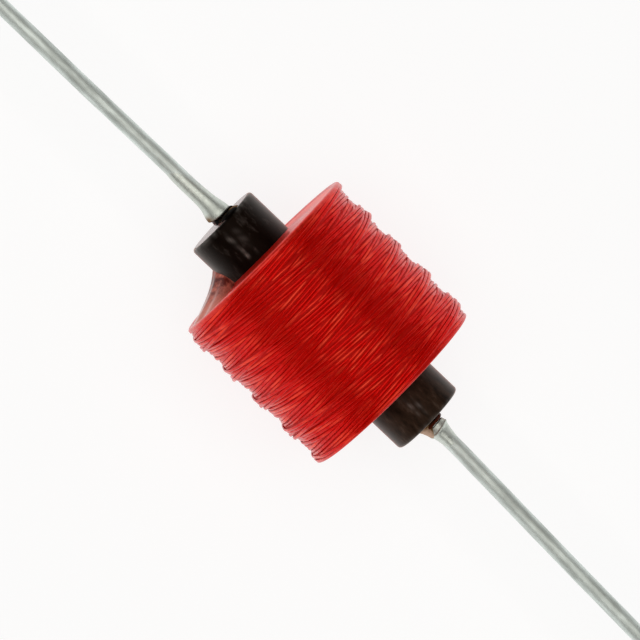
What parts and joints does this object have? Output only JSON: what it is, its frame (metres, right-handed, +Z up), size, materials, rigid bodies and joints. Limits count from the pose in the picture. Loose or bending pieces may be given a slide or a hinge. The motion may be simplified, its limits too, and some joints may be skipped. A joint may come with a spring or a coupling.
{
  "type": "axial inductor",
  "caption": "Axial choke: a cross-wound coil of red enamelled wire on a round black core, with a straight tinned wire lead out of each end.",
  "frame": {"origin": "on the ground under the middle of the part, half way between the two lead tips", "axes": "+X along the coil's axis towards the start lead, +Y to the side, +Z up: the part lies on its coil"},
  "size_m": [0.0802, 0.0122, 0.0123],
  "materials": {
    "enamelled_wire": "red enamelled copper wire, varnished",
    "core": "black, moulded and fired, semi-matt",
    "tinned_wire": "tinned copper wire, drawn",
    "solder": "soft solder, as it froze",
    "resin": "dark amber resin, glossy",
    "cement": "clear coil cement over red wire"
  },
  "bodies": {
    "root": {"coil": "enamelled_wire", "finish_tail": "enamelled_wire", "start_tail": "enamelled_wire", "core": "core", "finish_lead": "tinned_wire", "start_lead": "tinned_wire", "finish_solder": "solder", "start_solder": "solder", "finish_bead": "resin", "start_bead": "resin", "face_cement": "cement"}
  },
  "joints": []
}
